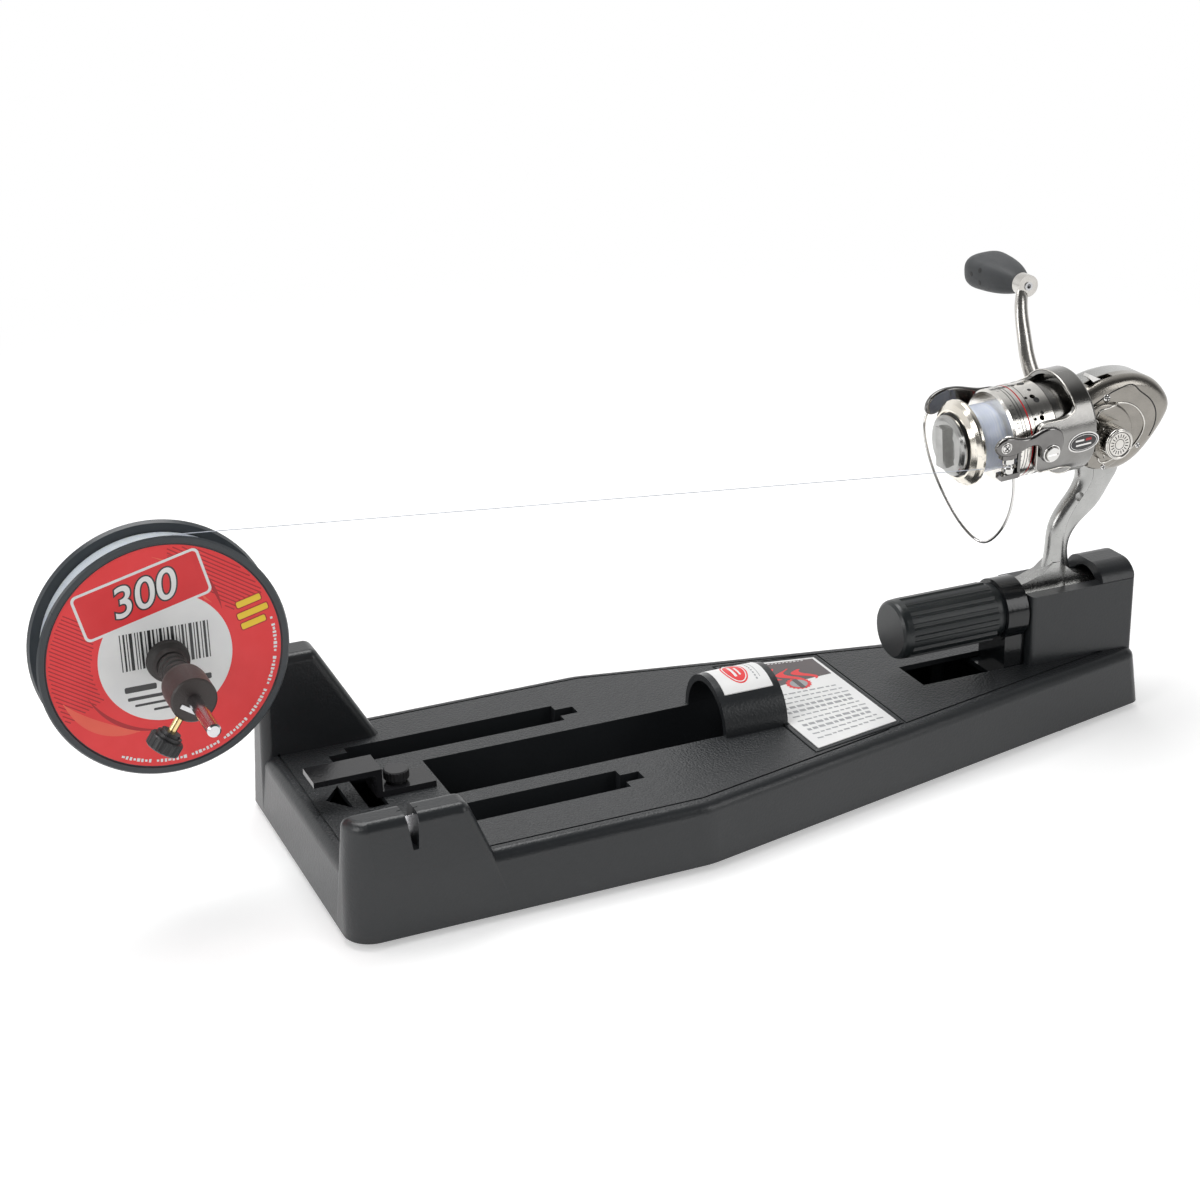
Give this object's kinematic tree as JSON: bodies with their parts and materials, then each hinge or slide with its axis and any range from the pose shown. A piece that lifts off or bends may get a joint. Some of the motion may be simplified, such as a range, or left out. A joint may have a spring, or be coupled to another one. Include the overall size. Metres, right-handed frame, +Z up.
{
  "type": "fishing line winder",
  "caption": "Bench winder that fills a spinning reel from a supply spool: moulded base, cranked axle with a sliding tensioner, screw clamp and reel.",
  "frame": {"origin": "middle of the base's length, on its centre plane, on the floor under the feet", "axes": "+X runs from the supply spool to the reel, +Y across the base to the tall post, +Z up"},
  "size_m": [0.6174, 0.2087, 0.2374],
  "materials": {
    "base_plastic": "moulded, fine pebble on the plate and satin at the edges",
    "black_plastic": "smooth",
    "grip_plastic": "ribbed",
    "foot_rubber": "soft",
    "steel": "drawn",
    "blade_steel": "ground",
    "brass": "turned",
    "label": "printed sticker",
    "flange_plastic": "satin",
    "spool_label": "printed paper",
    "clear_line": "wound monofilament",
    "rubber_cup": "moulded",
    "collar_plastic": "moulded",
    "body_metal": "satin champagne",
    "stem_metal": "polished",
    "rotor_metal": "satin silver",
    "bail_metal": "dark chrome",
    "wire_steel": "polished",
    "skirt_metal": "turned, satin",
    "lip_metal": "pale gold",
    "knob_chrome": "polished",
    "seal_rubber": "moulded",
    "washer": "felt",
    "gear_metal": "machined",
    "handle_metal": "polished",
    "grip_rubber": "soft touch"
  },
  "bodies": {
    "base": {"base_shell": "base_plastic", "bottom_plate": "base_plastic", "rubber_feet": "foot_rubber", "bottom_screws": "steel", "line_cutter_blade": "blade_steel", "axle_bush": "brass", "clip_insert": "brass", "base_label": "label", "arch_label": "label", "clamp_bolt": "steel", "axle_rod": "steel", "stop_collar": "steel", "reel_body": "body_metal", "body_cover": "body_metal", "rear_cap": "body_metal", "drive_bearings": "steel", "pinion_bearing": "steel", "fishing_line": "clear_line"},
    "clip": {"retaining_clip": "black_plastic"},
    "thumbscrew": {"clip_thumbscrew": "black_plastic"},
    "jaw": {"clamp_jaw": "black_plastic"},
    "clamp_grip": {"clamp_knob": "grip_plastic"},
    "supply_spool": {"near_flange": "flange_plastic", "near_spool_label": "spool_label", "far_flange": "flange_plastic", "far_spool_label": "spool_label", "spool_core": "flange_plastic", "wound_supply_line": "clear_line", "near_centring_cone": "steel", "far_centring_cone": "steel"},
    "tensioner": {"friction_cup": "rubber_cup", "spring_sleeve": "rubber_cup", "locking_collar": "collar_plastic", "collar_nut": "steel"},
    "collar_screw": {"locking_screw": "brass", "locking_screw_knob": "black_plastic"},
    "crank": {"drive_gear": "gear_metal", "handle_cap": "knob_chrome", "handle_arm": "handle_metal", "handle_grip_pin": "wire_steel"},
    "grip": {"handle_grip": "grip_rubber"},
    "crosswind_wheel": {"crosswind_gear": "black_plastic"},
    "crosswind_slider": {"main_shaft": "steel", "crosswind_block": "steel"},
    "line_spool": {"reel_spool": "skirt_metal", "spool_lip": "lip_metal", "wound_reel_line": "clear_line", "drag_washers": "washer", "drag_knob_seal": "seal_rubber"},
    "drag_grip": {"drag_knob": "knob_chrome"},
    "rotor": {"rotor": "rotor_metal", "rotor_nut": "steel", "pinion": "gear_metal", "bail_screws": "wire_steel"},
    "bail": {"bail_arm_near": "bail_metal", "bail_arm_far": "bail_metal", "bail_wire": "wire_steel", "roller_screw": "wire_steel"},
    "roller": {"line_roller": "wire_steel"},
    "reverse_lever": {"anti_reverse_lever": "rotor_metal"}
  },
  "joints": [
    {"name": "clip_swing", "type": "hinge", "parent": "base", "child": "clip", "pos_m": [-0.1885, 0, 0.038], "axis": [0, 0, 1], "range_deg": [-75, 75]},
    {"name": "thumbscrew_turn", "type": "hinge", "parent": "clip", "child": "thumbscrew", "pos_m": [-0.1885, 0, 0.044], "axis": [0, 0, 1], "range_deg": [0, 720]},
    {"name": "jaw_slide", "type": "slide", "parent": "base", "child": "jaw", "axis": [-1, 0, 0], "range_m": [0, 0.0241]},
    {"name": "clamp_grip_turn", "type": "hinge", "parent": "jaw", "child": "clamp_grip", "pos_m": [0.0935, 0, 0.066], "axis": [-1, 0, 0], "range_deg": [0, 2160]},
    {"name": "supply_spool_turn", "type": "hinge", "parent": "base", "child": "supply_spool", "pos_m": [-0.2995, 0, 0.1334], "axis": [0, 1, 0], "continuous": true},
    {"name": "tensioner_slide", "type": "slide", "parent": "base", "child": "tensioner", "axis": [0, -1, 0], "range_m": [0, 0.03]},
    {"name": "collar_screw_turn", "type": "hinge", "parent": "tensioner", "child": "collar_screw", "pos_m": [-0.2995, -0.0604, 0.1334], "axis": [-0.5736, 0, -0.8192], "range_deg": [0, 360]},
    {"name": "crank_turn", "type": "hinge", "parent": "base", "child": "crank", "pos_m": [0.21323, 0, 0.16229], "axis": [0, 1, 0], "continuous": true},
    {"name": "grip_turn", "type": "hinge", "parent": "crank", "child": "grip", "pos_m": [0.21247, 0.08, 0.22716], "axis": [0, 1, 0], "continuous": true},
    {"name": "rotor_turn", "type": "hinge", "parent": "base", "child": "rotor", "pos_m": [0.2017, 0, 0.1706], "axis": [0.9981, 0, 0.061], "continuous": true, "deforming": ["fishing_line"]},
    {"name": "crosswind_wheel_turn", "type": "hinge", "parent": "base", "child": "crosswind_wheel", "pos_m": [0.23443, -0.009, 0.16208], "axis": [0, 1, 0], "continuous": true},
    {"name": "bail_swing", "type": "hinge", "parent": "rotor", "child": "bail", "pos_m": [0.16976, 0, 0.16865], "axis": [-0.0085, 0.9903, 0.1389], "range_deg": [0, 110], "deforming": ["fishing_line"]},
    {"name": "roller_turn", "type": "hinge", "parent": "bail", "child": "roller", "pos_m": [0.14621, -0.02684, 0.16059], "axis": [-0.0605, -0.1392, 0.9884], "continuous": true},
    {"name": "crosswind_slide", "type": "slide", "parent": "base", "child": "crosswind_slider", "axis": [0.9981, 0, 0.061], "range_m": [0, 0.014]},
    {"name": "line_spool_slip", "type": "hinge", "parent": "crosswind_slider", "child": "line_spool", "pos_m": [0.15179, 0, 0.16755], "axis": [0.9981, 0, 0.061], "continuous": true},
    {"name": "drag_turn", "type": "hinge", "parent": "crosswind_slider", "child": "drag_grip", "pos_m": [0.12584, 0, 0.16596], "axis": [0.9981, 0, 0.061], "range_deg": [0, 720]},
    {"name": "reverse_lever_flip", "type": "hinge", "parent": "base", "child": "reverse_lever", "pos_m": [0.21666, -0.0058, 0.18805], "axis": [0, 1, 0], "range_deg": [0, 20]}
  ],
  "couplings": [
    {"joint": "jaw_slide", "follows": "clamp_grip_turn", "m_per_rad": 0.00063662},
    {"joint": "rotor_turn", "follows": "crank_turn", "ratio": 5.1429},
    {"joint": "crosswind_wheel_turn", "follows": "crank_turn", "ratio": -1.2222}
  ]
}
